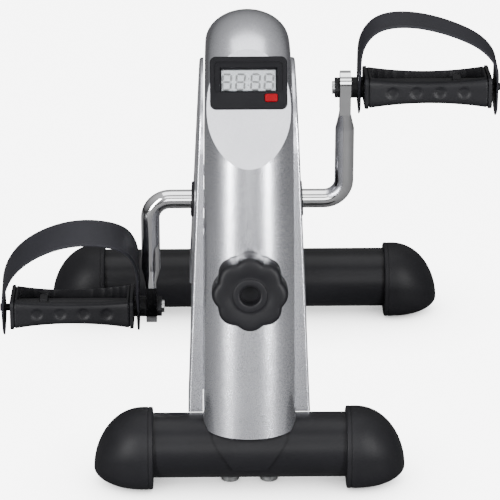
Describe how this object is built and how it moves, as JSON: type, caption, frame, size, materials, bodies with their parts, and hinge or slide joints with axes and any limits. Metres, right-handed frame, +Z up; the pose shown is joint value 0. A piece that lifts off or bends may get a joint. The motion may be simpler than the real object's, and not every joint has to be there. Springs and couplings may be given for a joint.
{
  "type": "pedal exerciser",
  "caption": "Free-standing pedal exerciser with two floor tubes, a covered crank, strapped pedals, a tension knob and a small display.",
  "frame": {"origin": "on the floor, under the middle of the overall box, on the centre plane", "axes": "+X to the right as the user faces away, +Y away from the user, +Z up"},
  "size_m": [0.396, 0.3658, 0.3424],
  "materials": {
    "silver_shell": "satin silver metallic paint on moulded ABS",
    "chrome": "polished",
    "powder_coat": "satin black powder coat",
    "black_rubber": "moulded, fine grain",
    "black_plastic": "moulded, satin",
    "strap_vinyl": "soft moulded vinyl, slight sheen",
    "zinc_steel": "zinc plated",
    "nylon": "natural nylon",
    "cast_drum": "turned",
    "felt": "pressed wool felt",
    "bezel_plastic": "fine spark texture",
    "display_glass": "clear acrylic",
    "display": "reflective liquid crystal",
    "board": "solder resist",
    "red_button": "satin",
    "lead_vinyl": "satin"
  },
  "bodies": {
    "base": {"brake_band": "zinc_steel", "brake_felt": "felt", "brake_spring": "zinc_steel", "button_spring": "zinc_steel", "console_battery": "zinc_steel", "console_housing": "bezel_plastic", "display_board": "board", "display_lens": "display_glass", "display_panel": "display", "frame": "powder_coat", "front_cover": "silver_shell", "front_left_foot": "black_rubber", "front_right_foot": "black_rubber", "front_saddle": "powder_coat", "front_stabiliser_tube": "powder_coat", "knob_washer": "zinc_steel", "left_bush": "nylon", "left_grommet": "black_plastic", "left_shell": "silver_shell", "rear_cover": "silver_shell", "rear_left_foot": "black_rubber", "rear_right_foot": "black_rubber", "rear_saddle": "powder_coat", "rear_stabiliser_tube": "powder_coat", "reed_sensor": "black_plastic", "right_bush": "nylon", "right_grommet": "black_plastic", "right_shell": "silver_shell", "sensor_lead": "lead_vinyl", "shell_screws": "zinc_steel", "stabiliser_bolts": "zinc_steel", "stabiliser_nuts": "zinc_steel", "stabiliser_washers": "zinc_steel"},
    "crank": {"crankshaft": "chrome", "brake_drum": "cast_drum", "drum_pin": "zinc_steel", "magnet": "zinc_steel", "left_collar": "zinc_steel", "right_collar": "zinc_steel", "left_pedal_spindle": "zinc_steel", "left_pedal_boss": "black_plastic", "left_spindle_nut": "black_plastic", "right_pedal_spindle": "zinc_steel", "right_pedal_boss": "black_plastic", "right_spindle_nut": "black_plastic"},
    "left_pedal": {"left_pedal_body": "black_plastic", "left_pedal_inner_end": "black_plastic", "left_pedal_outer_end": "black_plastic", "left_strap": "strap_vinyl"},
    "right_pedal": {"right_pedal_body": "black_plastic", "right_pedal_inner_end": "black_plastic", "right_pedal_outer_end": "black_plastic", "right_strap": "strap_vinyl"},
    "knob": {"tension_knob": "black_plastic", "tension_screw": "zinc_steel"},
    "travelling_nut": {"tension_nut": "zinc_steel"},
    "button": {"reset_button": "red_button"}
  },
  "joints": [
    {"name": "crank_turn", "type": "hinge", "parent": "base", "child": "crank", "pos_m": [0, -0.00775, 0.176], "axis": [1, 0, 0], "continuous": true},
    {"name": "left_pedal_spin", "type": "hinge", "parent": "crank", "child": "left_pedal", "pos_m": [-0.14, -0.00775, 0.082], "axis": [1, 0, 0], "continuous": true},
    {"name": "right_pedal_spin", "type": "hinge", "parent": "crank", "child": "right_pedal", "pos_m": [0.14, -0.00775, 0.27], "axis": [1, 0, 0], "continuous": true},
    {"name": "knob_turn", "type": "hinge", "parent": "base", "child": "knob", "pos_m": [0, -0.15448, 0.169], "axis": [0, 0.9871, -0.1599], "range_deg": [-1080, 1080]},
    {"name": "tension_nut_slide", "type": "slide", "parent": "base", "child": "travelling_nut", "axis": [0, -0.9871, 0.1599], "range_m": [-0.00375, 0.00375], "deforming": ["brake_spring"]},
    {"name": "button_press", "type": "slide", "parent": "base", "child": "button", "axis": [0, 0.8107, -0.5855], "range_m": [0, 0.0012], "stiffness_N_per_m": 400, "deforming": ["button_spring"]}
  ],
  "couplings": [
    {"joint": "tension_nut_slide", "follows": "knob_turn", "m_per_rad": 0.00019894}
  ]
}
